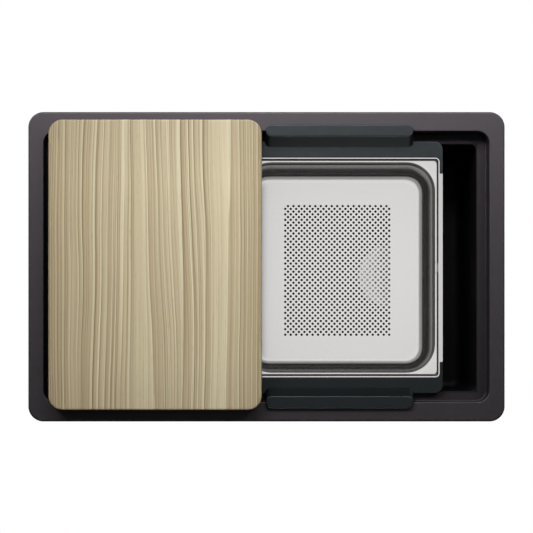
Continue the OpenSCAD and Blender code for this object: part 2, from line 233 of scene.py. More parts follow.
class Nodes:
    """A short way to write a node tree."""

    def __init__(self, name):
        self.m = bpy.data.materials.new(name)
        self.m.use_nodes = True
        self.t = self.m.node_tree
        self.bsdf = self.t.nodes["Principled BSDF"]
        self.out = self.t.nodes["Material Output"]
        self.co = self.add("ShaderNodeTexCoord").outputs["Object"]

    def add(self, kind, **values):
        n = self.t.nodes.new(kind)
        for k, v in values.items():
            setattr(n, k, v)
        return n

    def link(self, a, b):
        self.t.links.new(a, b)

    def stretch(self, sx, sy, sz, source=None):
        n = self.add("ShaderNodeMapping")
        n.inputs["Scale"].default_value = (sx, sy, sz)
        self.link(source or self.co, n.inputs["Vector"])
        return n.outputs["Vector"]

    def noise(self, scale, detail=3.0, rough=0.5, source=None, distortion=0.0):
        n = self.add("ShaderNodeTexNoise")
        n.inputs["Scale"].default_value = scale
        n.inputs["Detail"].default_value = detail
        n.inputs["Roughness"].default_value = rough
        n.inputs["Distortion"].default_value = distortion
        self.link(source or self.co, n.inputs["Vector"])
        return n.outputs["Fac"]

    def cells(self, scale, source=None, feature="F1"):
        n = self.add("ShaderNodeTexVoronoi", feature=feature)
        n.inputs["Scale"].default_value = scale
        self.link(source or self.co, n.inputs["Vector"])
        return n

    def ramp(self, source, stops, interpolation="LINEAR"):
        n = self.add("ShaderNodeValToRGB")
        n.color_ramp.interpolation = interpolation
        e = n.color_ramp.elements
        while len(e) > 1:
            e.remove(e[0])
        e[0].position, e[0].color = stops[0][0], tuple(stops[0][1]) + (1.0,)
        for p, c in stops[1:]:
            x = e.new(p)
            x.color = tuple(c) + (1.0,)
        self.link(source, n.inputs["Fac"])
        return n.outputs["Color"]

    def grey(self, source, stops):
        return self.ramp(source, [(p, (v, v, v)) for p, v in stops])

    def math(self, op, a, b=None):
        n = self.add("ShaderNodeMath", operation=op)
        for i, v in enumerate((a, b)):
            if v is None:
                continue
            if isinstance(v, (int, float)):
                n.inputs[i].default_value = v
            else:
                self.link(v, n.inputs[i])
        return n.outputs[0]

    def mix(self, fac, a, b, blend="MIX"):
        n = self.add("ShaderNodeMix", data_type="RGBA", blend_type=blend)
        for key, v in (("Factor", fac), ("A", a), ("B", b)):
            socket = [s for s in n.inputs if s.name == key and (s.type == "RGBA" or (key == "Factor" and s.type == "VALUE"))][0]
            if isinstance(v, (int, float)):
                socket.default_value = v
            elif isinstance(v, tuple):
                socket.default_value = v + (1.0,)
            else:
                self.link(v, socket)
        return [s for s in n.outputs if s.type == "RGBA"][0]

    def bump(self, height, distance, strength=1.0, normal=None):
        n = self.add("ShaderNodeBump")
        n.inputs["Strength"].default_value = strength
        n.inputs["Distance"].default_value = distance
        self.link(height, n.inputs["Height"])
        if normal is not None:
            self.link(normal, n.inputs["Normal"])
        return n.outputs["Normal"]

    def set(self, **values):
        names = {"color": "Base Color", "rough": "Roughness", "metal": "Metallic", "ior": "IOR", "normal": "Normal",
                 "coat": "Coat Weight", "coat_rough": "Coat Roughness", "spec": "Specular IOR Level",
                 "aniso": "Anisotropic", "sheen": "Sheen Weight", "sheen_rough": "Sheen Roughness", "sss": "Subsurface Weight"}
        for k, v in values.items():
            socket = self.bsdf.inputs[names[k]]
            if isinstance(v, (int, float)):
                socket.default_value = v
            elif isinstance(v, tuple):
                socket.default_value = v + (1.0,)
            else:
                self.link(v, socket)
        return self.m


def make_granite():
    s = Nodes("granite_composite")
    fine = s.noise(1500.0, 2.0, 0.6)
    cloud = s.noise(45.0, 4.0, 0.55)
    base = s.ramp(fine, [(0.30, (0.0070, 0.0058, 0.0067)), (0.52, (0.0118, 0.0099, 0.0113)), (0.75, (0.0180, 0.0153, 0.0174))])
    tone = s.grey(cloud, [(0.30, 0.90), (0.70, 1.08)])
    base = s.mix(1.0, base, tone, "MULTIPLY")
    # pale quartz grains and black ones
    grain = s.cells(620.0)
    light = s.grey(grain.outputs["Distance"], [(0.10, 1.0), (0.24, 0.0)])
    pick = s.grey(s.noise(260.0, 1.0, 0.5), [(0.56, 0.0), (0.66, 1.0)])
    base = s.mix(s.math("MULTIPLY", light, pick), base, (0.030, 0.0265, 0.029))
    dark = s.cells(480.0)
    spot = s.grey(dark.outputs["Distance"], [(0.12, 0.8), (0.26, 0.0)])
    base = s.mix(spot, base, (0.0012, 0.0010, 0.0011))
    rough = s.grey(s.noise(900.0, 2.0, 0.5), [(0.3, 0.45), (0.7, 0.56)])
    h = s.math("ADD", s.math("MULTIPLY", s.noise(1300.0, 2.0, 0.6), 0.7), s.math("MULTIPLY", s.noise(260.0, 2.0, 0.5), 0.3))
    # painted shade: the specular tint is cut on the ledge and cut further inside the bowl, standing in for the shade
    # there
    sep = s.add("ShaderNodeSeparateXYZ")
    s.link(s.co, sep.inputs[0])
    x, y, z = sep.outputs
    inward = s.math("MAXIMUM", s.math("SUBTRACT", s.math("ABSOLUTE", x), (BX + 2) / 1000), s.math("SUBTRACT", s.math("ABSOLUTE", y), (BY + 2) / 1000))
    inside = s.math("MULTIPLY", s.math("LESS_THAN", inward, 0.0), s.math("GREATER_THAN", z, (F - 2.5) / 1000))
    ledge_painted_shade = s.grey(s.math("ADD", z, 0.1), [(0.0815, 0.47), (0.1040, 1.0)])
    mottle = s.grey(s.noise(330.0, 2.0, 0.6), [(0.30, 0.86), (0.70, 1.14)])
    rough = s.math("MULTIPLY", rough, s.grey(s.noise(330.0, 2.0, 0.6), [(0.30, 0.92), (0.70, 1.08)]))
    painted_shade_spec = s.math("MULTIPLY", ledge_painted_shade, s.math("SUBTRACT", 1.0, s.math("MULTIPLY", inside, 0.5)))
    s.link(s.mix(1.0, (1.0, 0.90, 0.985), painted_shade_spec, "MULTIPLY"), s.bsdf.inputs["Specular Tint"])
    # painted shade: the base colour inside the bowl is pushed towards black
    base = s.mix(s.math("MULTIPLY", inside, 0.72), base, (0.0, 0.0, 0.0))
    base = s.mix(1.0, base, mottle, "MULTIPLY")
    return s.set(color=base, rough=rough, ior=1.5, spec=0.48, normal=s.bump(h, 0.00012, 0.45))


def make_plastic(name, dark, mid, rough_low, rough_high, grain=2200.0, depth=0.00006):
    s = Nodes(name)
    cloud = s.noise(38.0, 3.0, 0.5)
    fine = s.noise(grain, 2.0, 0.55)
    base = s.ramp(cloud, [(0.32, dark), (0.68, mid)])
    base = s.mix(1.0, base, s.grey(fine, [(0.35, 0.93), (0.65, 1.06)]), "MULTIPLY")
    rough = s.grey(s.noise(120.0, 3.0, 0.6), [(0.3, rough_low), (0.7, rough_high)])
    return s.set(color=base, rough=rough, ior=1.49, normal=s.bump(fine, depth, 0.4))


def make_steel(name, colour, rough_low, rough_high, along="X", depth=0.0, streak=0.02, painted_shade_below=None):
    s = Nodes(name)
    lines = (14.0, 2400.0, 2400.0) if along == "X" else (2400.0, 14.0, 2400.0)
    brushed = s.noise(1.0, 2.0, 0.5, s.stretch(*lines))
    tone = s.grey(brushed, [(0.25, 1.0 - streak), (0.75, 1.0 + streak)])
    base = s.mix(1.0, colour, tone, "MULTIPLY")
    rough = s.grey(brushed, [(0.2, rough_low), (0.8, rough_high)])
    if painted_shade_below is not None:
        # painted shade: below the given height the base colour drops to a fifth, standing in for the shade in the
        # channel under the pan's rim
        sep = s.add("ShaderNodeSeparateXYZ")
        s.link(s.co, sep.inputs[0])
        height = s.math("ADD", sep.outputs[2], 0.1 - painted_shade_below / 1000)
        base = s.mix(1.0, base, s.grey(height, [(0.0995, 0.20), (0.1002, 1.0)]), "MULTIPLY")
    s.set(color=base, metal=1.0, rough=rough)
    if depth:
        s.set(normal=s.bump(brushed, depth, 0.5))
    return s.m


def make_rubber():
    s = Nodes("black_rubber")
    fine = s.noise(1400.0, 3.0, 0.6)
    base = s.ramp(fine, [(0.3, (0.012, 0.012, 0.013)), (0.7, (0.024, 0.024, 0.026))])
    return s.set(color=base, rough=s.grey(s.noise(90.0, 2.0, 0.5), [(0.3, 0.68), (0.7, 0.84)]), normal=s.bump(fine, 0.00005, 0.4))


def make_brass():
    s = Nodes("turned_brass")
    turn = s.noise(1.0, 2.0, 0.5, s.stretch(30.0, 30.0, 3000.0))
    base = s.ramp(s.noise(70.0, 3.0, 0.5), [(0.3, (0.52, 0.37, 0.15)), (0.7, (0.64, 0.48, 0.22))])
    return s.set(color=base, metal=1.0, rough=s.grey(turn, [(0.3, 0.24), (0.7, 0.38)]), normal=s.bump(turn, 0.00002, 0.5))


def make_ash():
    """Oiled ash: straight growth rings along Y, each a dark line that fades into a pale band."""
    s = Nodes("striped_ash")
    sep = s.add("ShaderNodeSeparateXYZ")
    s.link(s.co, sep.inputs[0])
    x, y, z = sep.outputs
    # the rings wander a little sideways as they run down the board
    sway = s.noise(1.0, 1.5, 0.45, s.stretch(7.5, 2.6, 7.5))
    sway2 = s.noise(1.0, 1.0, 0.4, s.stretch(16.0, 7.0, 16.0))
    drift = s.math("ADD", s.math("MULTIPLY", s.math("SUBTRACT", sway, 0.5), 0.024), s.math("MULTIPLY", s.math("SUBTRACT", sway2, 0.5), 0.0016))
    # fan out from a plain strip near the middle towards the front
    fan = s.math("MINIMUM", s.math("MAXIMUM", s.math("DIVIDE", s.math("SUBTRACT", x, -0.199), 0.105), -1.0), 1.0)
    reach = s.grey(s.math("ADD", y, 0.30), [(0.20, 0.0), (0.36, 0.5), (0.54, 1.0)])
    drift = s.math("ADD", drift, s.math("MULTIPLY", s.math("MULTIPLY", s.math("SINE", s.math("MULTIPLY", fan, math.pi)), 0.011), reach))
    # and pass through the thickness at a slant
    u = s.math("ADD", s.math("ADD", x, drift), s.math("MULTIPLY", z, 0.35))

    def along(scale_u, scale_y, detail, rough, shift):
        c = s.add("ShaderNodeCombineXYZ")
        s.link(s.math("ADD", s.math("MULTIPLY", u, scale_u), shift), c.inputs[0])
        s.link(s.math("MULTIPLY", y, scale_y), c.inputs[1])
        return s.noise(1.0, detail, rough, c.outputs[0])

    # rings lie closer together towards both long edges
    w = s.math("DIVIDE", s.math("SUBTRACT", x, -0.1818), 0.1741)
    w2 = s.math("MULTIPLY", w, w)
    crowd = s.math("MULTIPLY", s.math("MULTIPLY", w2, w2), s.math("MULTIPLY", w, 4.0))

    def rings(scale, wobble_scale, wobble, shift):
        n = s.math("MULTIPLY", s.math("SUBTRACT", along(wobble_scale, 0.25, 1.5, 0.5, shift), 0.5), wobble)
        return s.math("FRACT", s.math("ADD", s.math("ADD", s.math("MULTIPLY", u, scale), crowd), s.math("ADD", n, 40.0)))

    def strip(centre, half):
        """1 away from a plain strip of wood, falling to 0 on its middle line."""
        return s.grey(s.math("ABSOLUTE", s.math("SUBTRACT", u, centre)), [(half * 0.55, 0.0), (half * 1.25, 1.0)])

    plain = s.grey(along(26.0, 0.5, 1.5, 0.5, 5.3), [(0.36, 1.0), (0.60, 0.42)])
    lined = s.math("MULTIPLY", strip(-0.196, 0.0125), strip(-0.066, 0.015))
    plain = s.math("MULTIPLY", plain, s.math("ADD", s.math("MULTIPLY", lined, 0.92), 0.08))
    ring1 = s.ramp(rings(80.0, 24.0, 6.0, 3.1), [
        (0.0, (0.205, 0.140, 0.072)), (0.075, (0.240, 0.170, 0.092)), (0.15, (0.335, 0.262, 0.155)), (0.30, (0.385, 0.318, 0.200)),
        (0.66, (0.425, 0.358, 0.230)), (0.80, (0.545, 0.500, 0.352)), (0.975, (0.575, 0.540, 0.392)), (1.0, (0.36, 0.29, 0.18))])
    pale = (0.500, 0.440, 0.298)
    base = s.mix(plain, pale, ring1)
    ring2 = s.ramp(rings(196.0, 61.0, 5.0, 17.7), [
        (0.0, (0.62, 0.55, 0.46)), (0.16, (0.74, 0.69, 0.62)), (0.34, (0.97, 0.96, 0.95)), (0.72, (1.02, 1.03, 1.04)), (0.95, (1.16, 1.20, 1.26)), (1.0, (0.90, 0.88, 0.85))])
    second = s.math("MULTIPLY", s.grey(along(33.0, 0.6, 1.5, 0.5, 9.9), [(0.38, 0.95), (0.60, 0.35)]), s.math("ADD", s.math("MULTIPLY", lined, 0.75), 0.25))
    base = s.mix(second, base, s.mix(1.0, base, ring2, "MULTIPLY"))
    fine = along(620.0, 3.0, 2.5, 0.62, 27.3)
    hair = along(1700.0, 14.0, 2.0, 0.6, 41.9)
    broad = along(30.0, 0.35, 2.0, 0.5, 3.1)
    base = s.mix(1.0, base, s.ramp(fine, [(0.30, (0.86, 0.845, 0.82)), (0.50, (1.0, 1.0, 1.0)), (0.70, (1.06, 1.07, 1.08))]), "MULTIPLY")
    base = s.mix(1.0, base, s.ramp(broad, [(0.33, (0.88, 0.865, 0.84)), (0.67, (1.09, 1.10, 1.12))]), "MULTIPLY")
    base = s.mix(1.0, base, s.grey(hair, [(0.3, 0.95), (0.7, 1.04)]), "MULTIPLY")
    # painted shade: darker towards both long edges, where the top rounds over
    across = s.math("MULTIPLY", s.math("ADD", w, 1.0), 0.5)
    base = s.mix(1.0, base, s.ramp(across, [
        (0.0, (0.70, 0.66, 0.60)), (0.05, (0.84, 0.82, 0.78)), (0.13, (0.93, 0.92, 0.90)), (0.45, (1.02, 1.02, 1.02)),
        (0.80, (1.09, 1.10, 1.11)), (0.93, (1.02, 1.02, 1.01)), (1.0, (0.82, 0.79, 0.74))]), "MULTIPLY")
    # open pores: short dark dashes in the early wood
    dash = s.cells(1.0, s.stretch(900.0, 42.0, 900.0))
    pore = s.math("MULTIPLY", s.grey(dash.outputs["Distance"], [(0.16, 1.0), (0.30, 0.0)]), s.grey(fine, [(0.40, 1.0), (0.55, 0.15)]))
    base = s.mix(s.math("MULTIPLY", pore, 0.35), base, (0.20, 0.14, 0.08))
    # a little darker towards both end grains
    ends = s.grey(s.math("ABSOLUTE", s.math("ADD", y, 0.008)), [(0.15, 1.0), (0.24, 0.90)])
    base = s.mix(1.0, base, ends, "MULTIPLY")
    base = s.mix(1.0, base, (0.945, 0.925, 0.900), "MULTIPLY")
    rough = s.grey(fine, [(0.3, 0.60), (0.7, 0.50)])
    h = s.math("SUBTRACT", s.math("MULTIPLY", fine, 0.6), s.math("MULTIPLY", pore, 0.6))
    return s.set(color=base, rough=rough, ior=1.46, spec=0.3, normal=s.bump(h, 0.00016, 0.35))


granite = make_granite()
slate = make_plastic("slate_plastic", (0.0040, 0.0054, 0.0062), (0.0048, 0.0064, 0.0073), 0.31, 0.37)
slate.node_tree.nodes["Principled BSDF"].inputs["Specular Tint"].default_value = (0.88, 0.97, 1.0, 1.0)
slate.node_tree.nodes["Principled BSDF"].inputs["Specular IOR Level"].default_value = 0.40
dark_pp = make_plastic("dark_plastic", (0.030, 0.032, 0.034), (0.042, 0.044, 0.047), 0.36, 0.50)
white_pp = make_plastic("white_plastic", (0.70, 0.69, 0.655), (0.77, 0.76, 0.735), 0.34, 0.48, 900.0)
nylon = make_plastic("natural_nylon", (0.66, 0.62, 0.53), (0.73, 0.70, 0.61), 0.38, 0.50, 900.0)
sheet_steel = make_steel("sheet_steel", (0.78, 0.78, 0.782), 0.20, 0.26)
# the frame's steel carries painted shade below T - 22, on the ledge under the pan's rim
frame_steel_painted_shade = make_steel("frame_sheet_steel", (0.78, 0.78, 0.782), 0.20, 0.26, painted_shade_below=T - 22.0)
polished = make_steel("pressed_steel", (0.76, 0.76, 0.765), 0.16, 0.22, "Y", 0.000004)
pan_steel = make_steel("satin_pan_steel", (0.76, 0.76, 0.76), 0.205, 0.235, "X", 0.0, 0.006)
rubber = make_rubber()
brass = make_brass()
ash = make_ash()

# ---------------------------------------------------------------- bowl

N = 20
A = (BX + 1.2, BY + 1.2, 11.2, L)
bowl_rings = [
    (BX - 19, BY - 19, 4, U), *arc((BX - 19, BY - 19, 4, U), (BX - 9, BY - 9, 12, U), (BX - 4, BY - 4, 16, U + 6.5), 5),
    (BX + 0.6, BY + 0.6, 20, U + 12), (BX + WALL - 4, BY + WALL - 4, 24, F + 16), (BX + WALL, BY + WALL, 18, L - 12),
    (BX + WALL, BY + WALL, 18, L - 10), (OX + 6.6, OY + 6.6, 26.6, L - 10), (OX + 8.5, OY + 8.5, 28.5, L - 8),
    (OX + 8.5, OY + 8.5, 28.5, 0), (EX - 8.5, EY - 8.5, 16.5, 0), (EX - 8.5, EY - 8.5, 16.5, 2),
    (EX - 2.5, EY - 2.5, 22.5, 2), (EX - 2.5, EY - 2.5, 22.5, 0), (EX - 0.7, EY - 0.7, 24.3, 0), (EX, EY, 25, 0.8),
    (EX, EY, 25, T - 3.0), *arc((EX, EY, 25, T - 3.0), (EX, EY, 25, T), (EX - 3.2, EY - 3.2, 21.8, T), 7),
    (EX - 3.8, EY - 3.8, 21.2, T), (OX + 2.1, OY + 2.1, 22.1, T), (OX + 1.6, OY + 1.6, 21.6, T),
    *arc((OX + 1.6, OY + 1.6, 21.6, T), (OX, OY, 20, T), (OX - 0.05, OY - 0.05, 19.95, T - 1.8), 6),
    (OX - 0.8, OY - 0.8, 19.2, L + 2.2), *arc((OX - 0.8, OY - 0.8, 19.2, L + 2.2), (OX - 0.9, OY - 0.9, 19.1, L), (OX - 3.0, OY - 3.0, 17.0, L), 4),
    (OX - 3.5, OY - 3.5, 16.5, L), (BX + 1.8, BY + 1.8, 11.8, L), (BX + 1.3, BY + 1.3, 11.3, L),
    *arc((BX + 1.3, BY + 1.3, 11.3, L), (BX, BY, 10, L), (BX - 0.05, BY - 0.05, 10.05, L - 1.4), 5),
    (BX - 0.6, BY - 0.6, 11.2, L - 20.0), (BX - 4, BY - 4, 18, F + 16),
    *arc((BX - 4, BY - 4, 18, F + 16), (BX - 5.0, BY - 5.0, 17, F), (BX - 20, BY - 20, 3, F), 9),
]
verts, faces = loft(bowl_rings, N)
bowl = outward(mesh_object("bowl_cast", verts, faces))
clips = [(x, s * (OY - 1), s * 90, 29.5) for x in (-290, -97, 97, 290) for s in (-1, 1)] + [(OX - 1, 0, 0, 25.5), (-(OX - 1), 0, 180, 25.5)]
bosses = [cylinder(8.5, L - 28, L - 9, x, y, 48) for x, y, _, _ in clips]
boolean(bowl, bosses, "UNION")
boolean(bowl, [lying_cylinder(27, BY + 3, BY + 9, DRAIN_X, OVERFLOW_Z)], "UNION")
cuts = [cylinder(58, F - 2.5, F + 7.5, DRAIN_X, 0, 96), cylinder(45.5, U - 5, U + 25, DRAIN_X, 0, 96),
        lying_cylinder(17, BY - 20, BY + 30, DRAIN_X, OVERFLOW_Z)]
cuts += [cylinder(4.1, L - 30, L - 11, x, y, 32) for x, y, _, _ in clips]
boolean(bowl, cuts, "DIFFERENCE")
piece(smooth(bowl, 30.0), "sink", "granite", granite, "rim", "bowl", "bowl_floor")

# ---------------------------------------------------------------- board

BCX, BHX, BHY, BCY = -181.8, 174.1, 237.0, 1.1
step = (BHX - 3, OY - 2.5, 12)


def slab(inset, z):
    return (BHX - inset, BHY - inset, 23.0 - inset, z, BCX, BCY)


top, under = T + 27.0, T + 0.05
board_rings = [
    (step[0] - 1.0, step[1] - 1.0, step[2] - 1.0, T - 3, BCX, 0),
    *arc((step[0] - 1.0, step[1] - 1.0, step[2] - 1.0, T - 3, BCX, 0), (step[0], step[1], step[2], T - 3, BCX, 0), (step[0], step[1], step[2], T - 2, BCX, 0), 3),
    (step[0], step[1], step[2], under, BCX, 0), slab(2.6, under), slab(2.0, under),
    *arc(slab(2.0, under), slab(0, under), slab(0, under + 2.0), 5),
    slab(0, top - 3.4), *arc(slab(0, top - 3.4), slab(0, top), slab(3.4, top), 8), slab(4.2, top),
]
verts, faces = loft(board_rings, N)
board = outward(mesh_object("ash_board", verts, faces))
piece(smooth(board, 40.0), "board", "ash", ash, "board")

# ---------------------------------------------------------------- rails with handles


def outline_solid(name, points, z0, z1):
    n = len(points)
    v = [(x, y, z0) for x, y in points] + [(x, y, z1) for x, y in points]
    f = [tuple(reversed(range(n))), tuple(range(n, 2 * n))]
    f += [(k, (k + 1) % n, n + (k + 1) % n, n + k) for k in range(n)]
    return outward(mesh_object(name, v, f))


def turn(cx, cy, r, a0, a1, n):
    return [(cx + r * math.cos(math.radians(a0 + (a1 - a0) * k / n)), cy + r * math.sin(math.radians(a0 + (a1 - a0) * k / n))) for k in range(n + 1)]


def make_rail(name):
    """The back rail about the frame's middle; the front one is its mirror image."""
    wrap = 156.5
    lx, ly = LIP[0] + 0.25, LIP[1] + 0.25
    q = 14.5
    right = turn(FW - q, FD - q, q, 0, 90, 14)
    inner = turn(lx - 7.2, ly - 7.2, 7.2, 90, 0, 10)
    outline = [(FW, wrap)] + right + [(-x, y) for x, y in reversed(right)] + [(-FW, wrap), (-lx, wrap)]
    outline += [(-x, y) for x, y in reversed(inner)] + inner + [(lx, wrap)]
    plate = bevel(outline_solid(name, outline, T - 21, T - 16), 0.9, 4, 50.0)
    # foot that stands on the ledge
    chord = math.degrees(math.asin((q - 4.4) / q))
    foot_right = turn(FW - q, FD - q, q, chord, 90, 10)
    foot = outline_solid("foot", foot_right + [(-x, y) for x, y in reversed(foot_right)], L + 0.05, T - 20.4)
    bevel(foot, 0.6, 2, 50.0)
    boolean(plate, [foot], "UNION")
    # the handle: a drafted grip that hooks over the rim

    def h(z, y_in, y_out, r, hx):
        return (hx, (y_out - y_in) / 2, r, z, 0.3, (y_in + y_out) / 2)

    def slope(z):
        return 199.4 + (z - (T - 16)) * (213.0 - 199.4) / 22.2

    def half(z):
        return 122.8 - 1.6 * max(0.0, z - (T - 16)) / 23.0

    def at(z, y_out, r=8.0, inset=0.0):
        return h(z, slope(z) + inset, y_out - inset, r - inset, half(z) - inset)

    crown = T + 7
    rings_ = [h(T - 18.5, 199.4, 221.4, 8.0, 122.8), h(T - 16.0, 199.4, 221.4, 8.0, 122.8)]
    rings_ += [at(T - 15.2, 221.4), at(T - 0.8, 221.4), at(T + 0.1, 221.6)]
    rings_ += [h(T + 0.12, slope(T + 0.12), 231.6, 8.0, half(T)), *arc(h(T + 0.12, slope(T + 0.12), 231.6, 8.0, half(T)), h(T + 0.12, slope(T + 0.12), 233.3, 8.6, half(T) + 0.0), h(T + 1.6, slope(T + 1.6), 233.3, 8.6, half(T)), 3)]
    rings_ += [h(T + 5.2, slope(T + 5.2), 233.3, 8.6, half(T + 5.2))]
    a = h(T + 5.2, slope(T + 5.2), 233.3, 8.6, half(T + 5.2))
    b = h(crown, slope(T + 6.6), 233.3, 8.6, half(crown))
    c = h(crown, 215.0, 231.6, 6.6, half(crown) - 1.7)
    rings_ += arc(a, b, c, 6) + [h(crown, 215.6, 231.0, 6.0, half(crown) - 2.3)]
    verts, faces = loft(rings_, 12)
    grip = outward(mesh_object("grip", verts, faces))
    boolean(plate, [grip], "UNION")
    boolean(plate, [cylinder(1.95, T - 22, T - 17.8, x, 193, 24) for x in (-150, -50, 50, 150)], "DIFFERENCE")
    return plate


def shift_mesh(ob, dx=0.0, flip_y=False):
    import bmesh

    bm = bmesh.new()
    bm.from_mesh(ob.data)
    for v in bm.verts:
        v.co.x += dx * 0.001
        if flip_y:
            v.co.y = -v.co.y
    bmesh.ops.recalc_face_normals(bm, faces=bm.faces)
    bm.to_mesh(ob.data)
    bm.free()
    return ob


back_rail = shift_mesh(make_rail("rail_back"), FRAME_X)
front_rail = shift_mesh(make_rail("rail_front"), FRAME_X, True)
piece(smooth(back_rail, 38.0), "frame", "slate_plastic", slate, "back_rail")
piece(smooth(front_rail, 38.0), "frame", "slate_plastic", slate, "front_rail")

# ---------------------------------------------------------------- steel frame


def frame_shape():
    m = 14
    r = [
        # outside of the lip, its rounded top, and down inside to the ledge
        (LIP[0], LIP[1], 7.0, T - 25), (LIP[0], LIP[1], 7.0, T - 16.9),
        (LIP[0], LIP[1], 7.0, T - 16.5), *arc((LIP[0], LIP[1], 7.0, T - 16.5), (LIP[0], LIP[1], 7.0, T - 16.2), (LIP[0] - 0.25, LIP[1] - 0.25, 6.75, T - 16.2), 3),
        *arc((LIP[0] - 1.75, LIP[1] - 1.75, 5.25, T - 16.2), (LIP[0] - 2.0, LIP[1] - 2.0, 5.0, T - 16.2), (LIP[0] - 2.0, LIP[1] - 2.0, 5.0, T - 16.5), 3),
        (LIP[0] - 2.0, LIP[1] - 2.0, 5.0, T - 20.4),
        *arc((LIP[0] - 2.0, LIP[1] - 2.0, 5.0, T - 20.4), (LIP[0] - 2.0, LIP[1] - 2.0, 5.0, T - 23.5), (LIP[0] - 5.1, LIP[1] - 5.1, 4.8, T - 23.5), 7),
    ]
    v, f = [], []
    m4 = 4 * (m + 1)
    for q in r:
        v += ring(q[0], q[1], q[2], q[3], m)
    v += ring(160.3, 174.8, 48.5, T - 23.5, m) + ring(160.3, 174.8, 48.5, T - 25, m)
    count = len(r) + 2
    for i in range(count):
        j = (i + 1) % count
        for k in range(m4):
            k2 = (k + 1) % m4
            f.append((i * m4 + k, i * m4 + k2, j * m4 + k2, j * m4 + k))
    ring_ob = outward(mesh_object("frame_steel", v, f))
    # outer flange, with the plain strips beside the pan
    flange = outline_solid("flange", [p[:2] for p in ring(FW - 1.9, FD - 4.7, 9, 0, 10)], T - 22.5, T - 21)
    hole = outline_solid("hole", [p[:2] for p in ring(LIP[0] - 0.5, LIP[1] - 0.5, 6.5, 0, m)], T - 23.0, T - 20)
    boolean(flange, [hole], "DIFFERENCE")
    strips = [block(s * (FW - 2) - 2, s * (FW - 2) + 2, 0.3 - 156.5, 156.5 - 0.3, T - 22.5, T - 21) for s in (-1, 1)]
    boolean(flange, strips, "UNION")
    boolean(flange, [cylinder(2.2, T - 24, T - 20, x, s * 193, 24) for x in (-150, -50, 50, 150) for s in (-1, 1)], "DIFFERENCE")
    tabs = [block(s * (LIP[0] - 1.5) - 1.5, s * (LIP[0] - 1.5) + 1.5, -7.2, 7.2, T - 24, T - 21.5) for s in (-1, 1)]
    boolean(ring_ob, [flange] + tabs, "UNION")
    return ring_ob


steel_frame = shift_mesh(frame_shape(), FRAME_X)
piece(smooth(steel_frame, 35.0), "frame", "steel", frame_steel_painted_shade, "frame_ring")

# ---------------------------------------------------------------- perforated pan


def pr(o, r, z):
    return (PAN_W - 4 + o, PAN_D - 3.5 + o, r, P + z)


